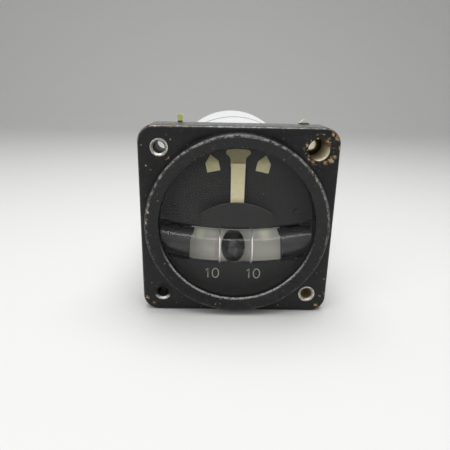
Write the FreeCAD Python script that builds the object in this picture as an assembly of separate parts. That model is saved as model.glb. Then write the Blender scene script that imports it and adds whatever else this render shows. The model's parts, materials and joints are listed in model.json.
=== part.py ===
"""Aircraft turn and slip indicator, 2 1/4 inch flange-mounted size, electric gyro type.

The frame is millimetres with +X to the right, +Y into the panel and +Z up. The origin is the
centre of the four screw holes on the flange's front face. Each piece of the instrument is a
solid of its own and is written to parts/NODE.step.
"""

import FreeCAD, Part
import math
import os

os.makedirs("parts", exist_ok=True)

V = FreeCAD.Vector
ALONG_X = V(1, 0, 0)
ALONG_Y = V(0, 1, 0)
ALONG_Z = V(0, 0, 1)

# Clearances
press_gap = 0.02
running_gap = 0.04
fit_gap = 0.1
loose_gap = 0.35
shoulder_gap = 0.3

# How far a cutter runs past the stock, and the reach for picking an edge
over = 1.0
edge_reach = 0.01

# Flange with the four panel screw holes
flange_side = 60.0
flange_thick = 12.0
flange_corner_r = 5.0
flange_edge_chamfer = 0.5
bolt_spacing = 47.14
torn_hole_r = 3.25

# Threaded inserts in three of the holes, and the loose nut and clips behind the top two
insert_outer_r = 2.65
insert_bore_r = 1.65
insert_mouth_r = 2.3
insert_mouth_depth = 0.6
insert_bore_length = 4.5
insert_rear_bore_r = 2.2
insert_proud = 0.15
insert_tail = 1.2
nut_flat_r = 3.5
nut_thick = 2.6
clip_thick = 0.8
clip_ring_r = 4.2
clip_tail_width = 1.5
left_tail_x = -18.3
left_tail_rise = 1.4
left_tip_r = 1.0
left_tail_half = 0.75
right_tail_half = 0.25
right_tail_x = 20.8
right_tail_rise = 1.3
right_tail_base = 3.6

# Bezel ring, pressed into the front of the flange, with its skirt notched round the tube's ends
ring_base_r = 28.5
ring_crest_r = 28.1
ring_height = 4.0
crest_width = 0.7
lip_r = 24.1
lip_height = 2.75
lip_thick = 0.55
skirt_wall = 1.35
skirt_length = 2.6
ring_register = 0.2

# Gasket, glass, spacer ring and dial, stacked behind the lip
stack_r = 25.8
gasket_width = 1.2
gasket_thick = 0.5
glass_thick = 1.8
spacer_width = 1.5
dial_y = 4.0
dial_thick = 0.8
dial_headroom = 2.1

# Marks raised on the dial: the centre index and the two standard-rate marks
mark_thick = 0.15
index_top_z = 22.95
index_corner_z = 22.7
index_corner_r = 0.8
index_head_z = 21.4
index_head_width = 7.5
index_neck_z = 19.6
index_neck_width = 4.6
index_foot_z = 17.6
index_flare = 0.42
rate_mark_deg = 11.9
rate_mark_width = 4.1
rate_mark_inner = 36.0
rate_mark_shoulder = 38.9
rate_mark_apex = 41.3

# Main bore, lugs and spigot of the flange housing
bore_room = 0.5
spigot_wall = 2.0
spigot_length = 3.0
relief_rise = 4.0
lug_r = 2.9
lug_inset = 2.6
lug_angles = (45, 135, 225, 315)

# Case of two aluminium shells
case_outer_r = 28.9
case_wall = 1.2
case_joint_y = 53.0
case_rear_y = 97.0
rear_wall = 1.5
case_edge_r = 1.0
joint_bevel = 0.4
nose_length = 5.5
nose_wall = 1.25
seal_r = 0.36
seal_from_joint = 1.4
case_screw_angles = (30, 150, 270)
case_screw_r = 0.8
case_screw_head_r = 1.35
case_screw_head = 0.7
case_screw_length = 2.4
rear_screw_from_joint = 3.7

# Inclinometer: a tube bent to a large radius, with a black ball in it
tube_outer_r = 5.2
tube_wall = 0.85
tube_curve_r = 115.0
tube_y = 6.3
tube_z = -9.4
tube_half_span = 24.2
window_half_span = 14.2
plug_cup_depth = 1.0
backing_half_span = 15.3
ball_r = 3.97
ball_rest_deg = 0.4
wire_r = 0.28
wire_x = 5.2
backing_thick = 0.3
backing_half_deg = 66.0
bracket_gap = 0.4
bracket_thick = 0.8
bracket_half_x = 17.8
bracket_half_z = 6.4
ear_half_width = 2.3
ear_top = 2.4
cradle_x = 16.2
cradle_width = 1.6
cradle_half_z = 3.6

# Dial screws and the posts that carry dial and bracket
post_x = 19.5
post_z = 2.9
post_r = 1.8
dial_screw_r = 0.9
dial_screw_head_r = 1.55
dial_screw_head = 0.8
screw_slot_half = 0.28

# Shield in front of the needle's slot
shield_front_y = 1.0
shield_thick = 0.7
shield_arc_r = 19.5
shield_top_z = 6.75
shield_corner_x = 10.8
shield_half_width = 11.3
shield_side_z = 1.4
shield_bottom_z = -1.3
shield_leg_width = 0.8
shield_leg_top_z = 0.5

# Pointer: needle, staff, counterweight and fork
pointer_z = -19.3
needle_top_z = 18.7
needle_top_width = 4.4
needle_low_width = 4.1
needle_low_z = 4.6
needle_taper = 1.2
needle_y = 2.2
needle_thick = 0.4
neck_z = 1.2
neck_thick = 0.8
neck_width = 2.0
needle_arm_y = 13.2
needle_arm_thick = 0.7
needle_hub_r = 2.0
needle_swing_deg = 24.0
slot_margin = 0.6
slot_margin_deg = 4.7
staff_r = 0.8
staff_front = 0.4
staff_rear = 0.2
bush_outer_r = 2.0
bush_from_hub = 0.4
bush_rear = 1.0
weight_top = 2.2
weight_bottom = 5.0
weight_half_width = 3.12
weight_front_y = 6.4
weight_back_y = 14.6
fork_gap = 0.2
fork_thick = 0.8
fork_length = 7.0
fork_half_width = 1.65
fork_slot_half = 0.75
fork_slot_start = 3.0

# Chassis that carries the gyro
plate_thick = 2.0
plate_room = 0.2
rear_plate_y = 70.0
rear_plate_room = 1.5
pillar_angles = (25, 155, 205, 335)
pillar_inset = 2.2
pillar_r = 2.0
pillar_spigot_r = 1.2
chassis_screw_r = 1.0
chassis_screw_head_r = 1.9
chassis_screw_head = 1.3
chassis_screw_depth = 7.0

# Gimbal frame on its two pivots
gimbal_front_y = 21.0
gimbal_bar = 2.5
gimbal_half_x = 20.5
gimbal_half_z = 5.0
gimbal_tilt_deg = 8.4
pivot_r = 1.0
pivot_shoulder_r = 2.0
bearing_outer_r = 3.0
drive_arm_thick = 1.0
drive_arm_half = 1.8
drive_arm_hub_r = 3.4
drive_pin_radius = 14.475
drive_pin_r = 0.5
drive_pin_gap = 0.4
stop_z = -9.0
stop_r = 0.8
stop_gap = 0.12

# Rotor and motor in the gimbal, spinning about X
rotor_r = 15.8
rotor_rim = 4.2
rotor_half_x = 9.0
rotor_web = 1.8
rotor_hub_r = 3.0
rotor_gap = 2.2
shaft_r = 1.25
shaft_end_gap = 0.2
spin_bearing_r = 3.2
winding_thick = 0.4
winding_margin = 0.4
winding_start_x = -5.5
magnet_gap = 0.5
magnet_bore_r = 4.2
magnet_start_x = -4.0
magnet_end_x = 8.5
carrier_bore_r = 2.0
carrier_flange_r = 6.0
carrier_flange = 1.0
commutator_r = 5.0
commutator_x = -13.5
commutator_width = 2.8
brush_r = 1.1
brush_gap = 0.15
brush_length = 4.0
holder_r = 9.4
holder_thick = 1.6
holder_bar_half = 2.2
holder_bar_inner = 6.4

# Damper and centring spring behind the gimbal
rear_arm_thick = 1.0
rear_arm_half = 2.5
rear_work_y = 66.7
damper_z = 16.5
damper_pin_r = 0.6
damper_slot_gap = 0.08
yoke_half_x = 1.6
yoke_half_y = 0.8
yoke_half_z = 1.9
yoke_slot_half_z = 1.1
damper_outer_r = 3.2
damper_bore_r = 2.6
damper_start_x = 4.4
damper_end_x = 14.4
damper_cap = 1.2
damper_foot_half_x = 3.2
damper_foot_half_z = 2.4
piston_gap = 0.05
piston_x = 8.2
piston_thick = 2.0
piston_rod_r = 0.7
spring_pin_z = -8.4
spring_pin_r = 0.7
spring_r = 1.9
spring_wire_r = 0.25
spring_turns = 6
spring_bottom_z = -18.6
spring_seat_gap = 0.3
adjuster_r = 1.1
adjuster_head_r = 2.2
adjuster_head = 0.9
adjuster_length = 5.6
adjuster_lug_half_x = 3.0
adjuster_lug_top = 20.2
adjuster_lug_bottom = 23.4

# Filter parts on the back of the chassis
capacitor_r = 8.0
capacitor_length = 16.0
capacitor_x = -13.0
capacitor_tag_r = 0.8
capacitor_tag_length = 2.5
capacitor_tag_z = 3.0
choke_outer_r = 8.0
choke_bore_r = 3.0
choke_length = 8.0
choke_x = 13.0

# Rear three-pin connector
socket_flange_side = 25.4
socket_flange_thick = 2.0
socket_corner_r = 2.0
socket_hole_spacing = 18.26
socket_thread_r = 7.94
socket_thread_length = 11.0
socket_inner_r = 6.4
socket_tail_r = 7.6
socket_tail_length = 6.0
insert_recess = 6.8
insert_back = 3.0
contact_r = 0.79
contact_cup_r = 1.1
contact_circle_r = 3.1
contact_tip_gap = 1.0
contact_cup_length = 3.0
contact_angles = (90, 210, 330)
socket_screw_r = 1.3
socket_screw_head_r = 2.5
socket_screw_head = 1.6
socket_nut_r = 2.7
socket_nut_thick = 2.2

# Places that follow from the sizes above
lip_back_y = -(lip_height - lip_thick)
glass_y = lip_back_y + gasket_thick
spacer_y = glass_y + glass_thick
spacer_inner_r = stack_r - spacer_width
dial_back_y = dial_y + dial_thick
skirt_inner_r = stack_r + fit_gap
skirt_outer_r = skirt_inner_r + skirt_wall
case_inner_r = case_outer_r - case_wall
spigot_outer_r = case_inner_r - fit_gap
spigot_inner_r = spigot_outer_r - spigot_wall
bore_r = case_inner_r - bore_room
lug_circle_r = bore_r - lug_inset
plate_r = case_inner_r - plate_room
rear_plate_r = case_inner_r - rear_plate_room
pillar_circle_r = rear_plate_r - pillar_inset
left_tail_z = flange_side / 2 + left_tail_rise
right_tail_z = flange_side / 2 + right_tail_rise
plate_y = flange_thick + spigot_length
plate_back_y = plate_y + plate_thick
rear_plate_back_y = rear_plate_y + plate_thick
bolt_half = bolt_spacing / 2
curve_centre = V(0, tube_y, tube_z + tube_curve_r)
tube_inner_r = tube_outer_r - tube_wall
bracket_y = tube_y + tube_outer_r + bracket_gap
fork_y = plate_back_y + bush_rear + fork_gap
gimbal_side_x = gimbal_half_x - gimbal_bar
rotor_y = gimbal_front_y + gimbal_bar + rotor_gap + rotor_r
gimbal_rear_y = rotor_y + rotor_r + rotor_gap
gimbal_back_y = gimbal_rear_y + gimbal_bar
socket_y = case_rear_y + socket_flange_thick
socket_end_y = socket_y + socket_thread_length


def rod_y(radius, y0, y1, x=0.0, z=0.0):
    """A round bar along Y."""
    return Part.makeCylinder(radius, y1 - y0, V(x, y0, z), ALONG_Y)


def rod_x(radius, x0, x1, y=0.0, z=0.0):
    """A round bar along X."""
    return Part.makeCylinder(radius, x1 - x0, V(x0, y, z), ALONG_X)


def rod_z(radius, z0, z1, x=0.0, y=0.0):
    """A round bar along Z."""
    return Part.makeCylinder(radius, z1 - z0, V(x, y, z0), ALONG_Z)


def ring_y(outer_r, inner_r, y0, y1, x=0.0, z=0.0):
    """A flat ring or tube along Y."""
    return rod_y(outer_r, y0, y1, x, z).cut(rod_y(inner_r, y0, y1, x, z))


def ring_x(outer_r, inner_r, x0, x1, y=0.0, z=0.0):
    """A tube along X."""
    return rod_x(outer_r, x0, x1, y, z).cut(rod_x(inner_r, x0, x1, y, z))


def block(x0, x1, y0, y1, z0, z1):
    """A rectangular block between two corners."""
    return Part.makeBox(x1 - x0, y1 - y0, z1 - z0, V(x0, y0, z0))


def turned(profile):
    """A body turned about the Y axis from (radius, y) points."""
    points = [V(r, y, 0) for r, y in profile]
    wire = Part.makePolygon(points + points[:1])
    return Part.Face(wire).revolve(V(0, 0, 0), ALONG_Y, 360)


def plate(outline, y0, y1):
    """A flat plate across Y from edges or (x, z) points in its front plane."""
    if isinstance(outline, list):
        points = [V(x, y0, z) for x, z in outline]
        outline = Part.makePolygon(points + points[:1])
    return Part.Face(outline).extrude(V(0, y1 - y0, 0))


def hexagon(flat_r, y0, y1, x=0.0, z=0.0):
    """A hexagonal nut blank along Y."""
    corner_r = flat_r / math.cos(math.pi / 6)
    corners = [math.radians(60 * k) for k in range(6)]
    return plate([(x + corner_r * math.cos(a), z + corner_r * math.sin(a)) for a in corners], y0, y1)


def rounded_square(side, corner_r, y0, y1):
    """A square plate across Y with rounded corners."""
    half = side / 2
    body = block(-half, half, y0, y1, -half, half)
    upright = [e for e in body.Edges if e.BoundBox.XLength + e.BoundBox.ZLength < edge_reach]
    return body.makeFillet(corner_r, upright)


def on_circle(circle_r, degrees):
    """The x and z of a point on a circle about the Y axis."""
    angle = math.radians(degrees)
    return circle_r * math.cos(angle), circle_r * math.sin(angle)


def joined(solids):
    """One solid from several that touch or overlap."""
    return solids[0].multiFuse(solids[1:]).removeSplitter()


def save(name, *solids):
    """Writes one node, with one solid or a group of separate solids."""
    shape = solids[0] if len(solids) == 1 else Part.makeCompound(list(solids))
    shape.exportStep("parts/" + name + ".step")
    box = shape.BoundBox
    print("%-24s solids %d valid %s volume %9.2f  x %7.2f %7.2f  y %7.2f %7.2f  z %7.2f %7.2f" % (
        name, len(shape.Solids), shape.isValid(), shape.Volume,
        box.XMin, box.XMax, box.YMin, box.YMax, box.ZMin, box.ZMax))


def bent_sweep(section, from_deg, to_deg):
    """A section at the tube's lowest point, turned about the centre of the tube's bend."""
    start = section.copy()
    start.rotate(curve_centre, ALONG_Y, from_deg)
    return start.revolve(curve_centre, ALONG_Y, to_deg - from_deg)


def bent_rod(radius, from_deg, to_deg):
    """A round bar that follows the bend of the inclinometer tube."""
    circle = Part.Circle(V(0, tube_y, tube_z), ALONG_X, radius)
    return bent_sweep(Part.Face(Part.Wire(circle.toShape())), from_deg, to_deg)


def bend_deg(x):
    """The angle about the bend's centre of a point on the tube's axis at this x."""
    return math.degrees(math.asin(x / tube_curve_r))


def bend_rise(x):
    """How far the bent tube's axis has risen at this x."""
    return tube_curve_r - math.sqrt(tube_curve_r ** 2 - x ** 2)


def tube_room(half_span):
    """A block as long as the tube and well clear of its sides, which squares off its ends."""
    side = 2 * tube_outer_r
    return block(-half_span, half_span, tube_y - side, tube_y + side,
                 tube_z - side, tube_z + side + bend_rise(tube_half_span))


def tube_envelope(gap):
    """The room that the inclinometer tube takes, grown by a gap."""
    reach = bend_deg(tube_half_span + tube_outer_r)
    return bent_rod(tube_outer_r + gap, -reach, reach).common(tube_room(tube_half_span + gap))


def corner_points():
    """The four panel screw holes, top left first, then top right, bottom left, bottom right."""
    return [(x, z) for z in (bolt_half, -bolt_half) for x in (-bolt_half, bolt_half)]


def stepped_bore():
    """The room behind the dial, wide in the flange and narrower in the spigot."""
    return turned([(0, dial_back_y), (bore_r, dial_back_y), (bore_r, flange_thick),
                   (spigot_inner_r, flange_thick), (spigot_inner_r, plate_y + over), (0, plate_y + over)])


def make_flange_housing():
    body = rounded_square(flange_side, flange_corner_r, 0, flange_thick)
    front_edges = [e for e in body.Edges if e.BoundBox.YMax < edge_reach]
    body = body.makeChamfer(flange_edge_chamfer, front_edges)
    body = joined([body, rod_y(spigot_outer_r, flange_thick, plate_y)])
    lugs = [rod_y(lug_r, dial_back_y, plate_y, *on_circle(lug_circle_r, a)) for a in lug_angles]
    cutters = [
        rod_y(ring_base_r + fit_gap, -over, ring_register),
        rod_y(skirt_outer_r + fit_gap, -over, skirt_length + fit_gap),
        rod_y(stack_r + fit_gap, 0, dial_back_y),
        stepped_bore().cut(lugs),
        tube_envelope(loose_gap),
    ]
    side_relief = rod_y(bore_r, flange_thick, plate_y + over)
    relief_band = block(-case_outer_r, case_outer_r, flange_thick, plate_y + over,
                        tube_z - tube_outer_r, tube_z + tube_outer_r + relief_rise)
    cutters.append(side_relief.common(relief_band).cut(lugs))
    body = body.cut(cutters)
    holes = []
    for index, (x, z) in enumerate(corner_points()):
        hole_r = torn_hole_r if index == 1 else insert_outer_r + press_gap
        holes.append(rod_y(hole_r, -over, flange_thick + over, x, z))
    for angle in lug_angles:
        x, z = on_circle(lug_circle_r, angle)
        hole_end = plate_y - chassis_screw_depth - fit_gap
        holes.append(rod_y(chassis_screw_r + press_gap, hole_end, plate_y + over, x, z))
    screw_y = flange_thick + spigot_length / 2
    holes += [case_screw_hole(angle, screw_y) for angle in case_screw_angles]
    save("flange_housing", body.cut(holes))


def make_panel_fittings():
    inserts = []
    for index, (x, z) in enumerate(corner_points()):
        if index == 1:
            continue
        body = rod_y(insert_outer_r, -insert_proud, flange_thick + insert_tail, x, z)
        mouth_at = V(x, -insert_proud, z)
        mouth = Part.makeCone(insert_mouth_r, insert_bore_r, insert_mouth_depth, mouth_at, ALONG_Y)
        bore = rod_y(insert_bore_r, -insert_proud, insert_bore_length, x, z)
        rear = rod_y(insert_rear_bore_r, insert_bore_length, flange_thick + insert_tail, x, z)
        inserts.append(body.cut([mouth, bore, rear]))
    save("panel_inserts", *inserts)
    nut_y = flange_thick + clip_thick
    nut = hexagon(nut_flat_r, nut_y, nut_y + nut_thick, bolt_half, bolt_half)
    save("brass_nut", nut.cut(rod_y(insert_bore_r, nut_y, nut_y + nut_thick, bolt_half, bolt_half)))
    left_tip = rod_y(left_tip_r, flange_thick, nut_y, left_tail_x, left_tail_z)
    save("left_clip", make_clip(-bolt_half, left_tail_x, left_tail_z, clip_tail_width, left_tail_half,
                                insert_outer_r + fit_gap, left_tip))
    save("right_clip", make_clip(bolt_half, right_tail_x, right_tail_z, right_tail_base, right_tail_half,
                                 insert_bore_r + loose_gap, None))


def make_clip(x, tail_x, tail_z, base_width, end_width, hole_r, tip):
    """A sheet clip on the flange's back, with a tail that shows above the flange's top edge."""
    back_y = flange_thick + clip_thick
    ring = rod_y(clip_ring_r, flange_thick, back_y, x, bolt_half)
    half = flange_side / 2
    tail = plate([(x - base_width / 2, bolt_half), (x + base_width / 2, bolt_half),
                  (tail_x + base_width / 2, half), (tail_x + end_width, tail_z),
                  (tail_x - end_width, tail_z), (tail_x - base_width / 2, half)], flange_thick, back_y)
    solids = [ring, tail] + ([tip] if tip else [])
    return joined(solids).cut(rod_y(hole_r, flange_thick - over, back_y + over, x, bolt_half))


def make_bezel_and_stack():
    room = tube_envelope(loose_gap)
    save("bezel_ring", turned([
        (ring_base_r, ring_register), (ring_base_r, 0), (ring_crest_r, -ring_height),
        (ring_crest_r - crest_width, -ring_height),
        (lip_r, -lip_height), (lip_r, lip_back_y), (skirt_inner_r, lip_back_y),
        (skirt_inner_r, skirt_length), (skirt_outer_r, skirt_length),
        (skirt_outer_r, ring_register)]).cut(room))
    save("glass_gasket", ring_y(stack_r, stack_r - gasket_width, lip_back_y, glass_y))
    save("cover_glass", rod_y(stack_r, glass_y, spacer_y))
    save("spacer_ring", ring_y(stack_r, spacer_inner_r, spacer_y, dial_y).cut(room))


def wire_room():
    """Two narrow slots that clear the hoops of the index wires."""
    hoop_r = tube_outer_r + wire_r + press_gap
    half = wire_r + fit_gap
    return [rod_x(hoop_r + half, x - half, x + half, tube_y, tube_z + bend_rise(x))
            for x in (-wire_x, wire_x)]


def needle_slot():
    """The opening in the dial behind the shield, a sector about the pointer's axis."""
    outer = neck_z + neck_thick / 2 + slot_margin - pointer_z
    edge = math.radians(needle_swing_deg + slot_margin_deg)
    disc = rod_y(outer, 0, bracket_y + bracket_thick + over, 0, pointer_z)
    far = 2 * outer
    wedge = plate([(0, pointer_z), (far * math.sin(edge), pointer_z + far * math.cos(edge)),
                   (-far * math.sin(edge), pointer_z + far * math.cos(edge))],
                  0, bracket_y + bracket_thick + over)
    return disc.common(wedge)


def make_dial():
    disc = rod_y(stack_r, dial_y, dial_back_y)
    screw_holes = [rod_y(dial_screw_r + press_gap, 0, plate_y, side * post_x, post_z) for side in (-1, 1)]
    top = block(-stack_r, stack_r, dial_y, dial_back_y, tube_z, stack_r)
    bottom = block(-stack_r, stack_r, dial_y, dial_back_y, -stack_r, tube_z)
    room = tube_envelope(loose_gap)
    headroom = room.translated(V(0, 0, dial_headroom))
    gap_ends = block(-stack_r - over, stack_r + over, dial_y, dial_back_y,
                     tube_z - loose_gap / 2, tube_z + loose_gap / 2)
    upper = disc.common(top).cut([room, headroom, needle_slot(), gap_ends] + screw_holes)
    lower = disc.common(bottom).cut([room, gap_ends] + wire_room())
    save("upper_dial", max(upper.Solids, key=lambda s: s.Volume))
    save("lower_dial", max(lower.Solids, key=lambda s: s.Volume))


def make_dial_marks():
    front = dial_y - mark_thick
    head = index_head_width / 2
    neck = index_neck_width / 2
    corner_x = head - index_corner_r
    side_top_z = index_corner_z - index_corner_r
    corner_reach = index_corner_r * math.sqrt(0.5)
    flare_x = neck + index_flare
    flare_z = (index_head_z + index_neck_z) / 2

    def at(x, z):
        return V(x, front, z)

    top_arc = Part.Arc(at(-corner_x, index_corner_z), at(0, index_top_z), at(corner_x, index_corner_z))
    edges = [top_arc.toShape(), Part.makeLine(at(neck, index_foot_z), at(-neck, index_foot_z))]
    for side in (-1, 1):
        edges += [
            Part.Arc(at(side * corner_x, index_corner_z),
                     at(side * (corner_x + corner_reach), side_top_z + corner_reach),
                     at(side * head, side_top_z)).toShape(),
            Part.makeLine(at(side * head, side_top_z), at(side * head, index_head_z)),
            Part.Arc(at(side * head, index_head_z), at(side * flare_x, flare_z),
                     at(side * neck, index_neck_z)).toShape(),
            Part.makeLine(at(side * neck, index_neck_z), at(side * neck, index_foot_z))]
    index = plate(Part.Wire(Part.__sortEdges__(edges)), front, dial_y)
    marks = [index]
    half = rate_mark_width / 2
    for side in (-1, 1):
        outline = [(-half, rate_mark_inner), (half, rate_mark_inner), (half, rate_mark_shoulder),
                   (0, rate_mark_apex), (-half, rate_mark_shoulder)]
        mark = plate([(x, pointer_z + r) for x, r in outline], front, dial_y)
        mark.rotate(V(0, 0, pointer_z), ALONG_Y, side * rate_mark_deg)
        marks.append(mark)
    save("dial_marks", *marks)


def make_dial_supports():
    posts = []
    screws = []
    for side in (-1, 1):
        x = side * post_x
        posts.append(ring_y(post_r, dial_screw_r + press_gap, dial_back_y, plate_y, x, post_z))
        head = rod_y(dial_screw_head_r, dial_y - dial_screw_head, dial_y, x, post_z)
        slot = block(x - dial_screw_head_r, x + dial_screw_head_r, dial_y - dial_screw_head - over,
                     dial_y - dial_screw_head / 2, post_z - screw_slot_half, post_z + screw_slot_half)
        shank = rod_y(dial_screw_r, dial_y, plate_back_y, x, post_z)
        screws.append(joined([head.cut(slot), shank]))
    save("dial_posts", *posts)
    save("dial_screws", *screws)


def make_shield():
    back_y = shield_front_y + shield_thick
    drop = shield_arc_r - math.sqrt(shield_arc_r ** 2 - shield_corner_x ** 2)
    corner_z = shield_top_z - drop
    y = shield_front_y
    right = [V(shield_corner_x, y, corner_z), V(shield_half_width, y, shield_side_z),
             V(shield_half_width, y, shield_bottom_z)]
    left = [V(-p.x, p.y, p.z) for p in right]
    arc = Part.Arc(left[0], V(0, y, shield_top_z), right[0]).toShape()
    sides = Part.makePolygon(right + left[::-1])
    body = plate(Part.Wire([arc] + sides.Edges), y, back_y)
    leg_y = back_y - shield_thick / 2
    legs = [block(x, x + shield_leg_width, leg_y, dial_y, shield_bottom_z, shield_leg_top_z)
            for x in (-shield_half_width, shield_half_width - shield_leg_width)]
    save("pointer_shield", joined([body] + legs))


def make_inclinometer():
    reach = bend_deg(tube_half_span + tube_outer_r)
    ends = tube_room(tube_half_span)
    tube = bent_rod(tube_outer_r, -reach, reach).cut(bent_rod(tube_inner_r, -reach, reach)).common(ends)
    save("inclinometer_tube", tube)
    window_deg = bend_deg(window_half_span)
    save("tube_end_plugs", *[make_plug(side, window_deg, reach).common(ends) for side in (1, -1)])
    ball = Part.makeSphere(ball_r, V(0, tube_y, tube_z))
    ball.rotate(curve_centre, ALONG_Y, ball_rest_deg)
    save("slip_ball", ball)
    save("white_backing", make_backing(bend_deg(backing_half_span)))
    hoop_r = tube_outer_r + wire_r + press_gap
    save("index_wires", *[make_wire(side * wire_x, hoop_r) for side in (-1, 1)])
    make_bracket(hoop_r)


def make_plug(side, window_deg, reach):
    """An end plug of the tube, whose inner end is cupped by a round cut across the tube."""
    body = bent_rod(tube_inner_r - press_gap, *sorted((-side * window_deg, -side * reach)))
    cup_r = (tube_inner_r ** 2 + plug_cup_depth ** 2) / (2 * plug_cup_depth)
    cup = rod_y(cup_r, tube_y - tube_outer_r, tube_y + tube_outer_r, side * (plug_cup_depth - cup_r), tube_z)
    cup.rotate(curve_centre, ALONG_Y, -side * window_deg)
    return body.cut(cup)


def make_backing(end_deg):
    """A white strip that hugs the back of the tube, seen through it."""
    inner = tube_outer_r + press_gap
    outer = inner + backing_thick
    edge = math.radians(backing_half_deg)

    def at(radius, angle):
        return V(0, tube_y + radius * math.cos(angle), tube_z + radius * math.sin(angle))

    outer_arc = Part.Arc(at(outer, -edge), at(outer, 0), at(outer, edge)).toShape()
    inner_arc = Part.Arc(at(inner, edge), at(inner, 0), at(inner, -edge)).toShape()
    top = Part.makeLine(at(outer, edge), at(inner, edge))
    bottom = Part.makeLine(at(inner, -edge), at(outer, -edge))
    section = Part.Face(Part.Wire([outer_arc, top, inner_arc, bottom]))
    return bent_sweep(section, -end_deg, end_deg)


def make_wire(x, hoop_r):
    """An index wire, a half hoop over the front of the tube with two legs into the bracket."""
    z = tube_z + bend_rise(x)
    circle = Part.Circle(V(x, tube_y, z + hoop_r), ALONG_Y, wire_r)
    hoop = Part.Face(Part.Wire(circle.toShape())).revolve(V(x, tube_y, z), ALONG_X, 180)
    legs = [rod_y(wire_r, tube_y, bracket_y + bracket_thick, x, z + side * hoop_r) for side in (-1, 1)]
    return joined([hoop] + legs)


def make_bracket(hoop_r):
    back_y = bracket_y + bracket_thick
    body = block(-bracket_half_x, bracket_half_x, bracket_y, back_y,
                 tube_z - bracket_half_z, tube_z + bracket_half_z)
    ears = [block(side * post_x - ear_half_width, side * post_x + ear_half_width, bracket_y, back_y,
                  tube_z, post_z + ear_top) for side in (-1, 1)]
    cradles = []
    for side in (-1, 1):
        x = side * (cradle_x + cradle_width / 2)
        cradles.append(block(x - cradle_width / 2, x + cradle_width / 2, tube_y + tube_inner_r / 2, back_y,
                             tube_z - cradle_half_z, tube_z + cradle_half_z))
    body = joined([body] + ears + cradles)
    body = body.cut([rod_y(lug_r + loose_gap, bracket_y - over, back_y + over, *on_circle(lug_circle_r, a))
                     for a in lug_angles])
    rise = bend_rise(wire_x)
    neck_low = neck_z - neck_thick / 2 - slot_margin - pointer_z
    neck_sweep = needle_slot().cut(rod_y(neck_low, 0, back_y + 2 * over, 0, pointer_z))
    cutters = [tube_envelope(press_gap), neck_sweep]
    for side in (-1, 1):
        cutters.append(rod_y(post_r + press_gap, bracket_y - over, back_y + over, side * post_x, post_z))
        for end in (-1, 1):
            cutters.append(rod_y(wire_r + press_gap, bracket_y - over, back_y + over, side * wire_x,
                                 tube_z + rise + end * hoop_r))
    save("inclinometer_bracket", body.cut(cutters))


def make_pointer():
    front = needle_y
    top = needle_top_width / 2
    low = needle_low_width / 2
    neck_top = neck_z + neck_thick / 2
    neck_bottom = neck_z - neck_thick / 2
    stem = neck_width / 2
    outline = [(stem, neck_bottom), (stem, needle_low_z - needle_taper),
               (low, needle_low_z), (top, needle_top_z)]
    blade = plate(outline + [(-x, z) for x, z in reversed(outline)], front, front + needle_thick)
    arm_back = needle_arm_y + needle_arm_thick
    neck = block(-neck_width / 2, neck_width / 2, front, arm_back, neck_bottom, neck_top)
    arm = block(-neck_width / 2, neck_width / 2, needle_arm_y, arm_back, pointer_z, neck_top)
    tail = block(-neck_width / 2, neck_width / 2, needle_arm_y, arm_back,
                 pointer_z - weight_bottom, pointer_z)
    hub = rod_y(needle_hub_r, needle_arm_y, arm_back, 0, pointer_z)
    staff_hole = rod_y(staff_r + press_gap, 0, plate_y, 0, pointer_z)
    save("pointer_needle", joined([blade, neck, arm, tail, hub]).cut(staff_hole))
    weight = block(-weight_half_width, weight_half_width, weight_front_y, weight_back_y,
                   pointer_z - weight_bottom, pointer_z - weight_top)
    channel = block(-neck_width / 2 - press_gap, neck_width / 2 + press_gap, needle_arm_y - press_gap,
                    arm_back + press_gap, pointer_z - weight_bottom - over, pointer_z)
    save("pointer_counterweight", weight.cut(channel))
    staff_end = fork_y + fork_thick + staff_rear
    save("pointer_staff", rod_y(staff_r, needle_arm_y - staff_front, staff_end, 0, pointer_z))
    save("staff_bush", ring_y(bush_outer_r, staff_r + running_gap, arm_back + bush_from_hub,
                              plate_back_y + bush_rear, 0, pointer_z))
    fork_back = fork_y + fork_thick
    fork = joined([rod_y(needle_hub_r, fork_y, fork_back, 0, pointer_z),
                   block(-fork_half_width, fork_half_width, fork_y, fork_back,
                         pointer_z, pointer_z + fork_length)])
    slot = block(-fork_slot_half, fork_slot_half, fork_y, fork_back,
                 pointer_z + fork_slot_start, pointer_z + fork_length)
    save("pointer_fork", fork.cut([slot, rod_y(staff_r + press_gap, fork_y, fork_back, 0, pointer_z)]))


def stop_x():
    """The place of a limit stop, just clear of the drive arm at the end of the gimbal's tilt."""
    tilt = math.radians(gimbal_tilt_deg)
    return -stop_z * math.sin(tilt) + drive_arm_half * math.cos(tilt) + stop_r + stop_gap


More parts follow.
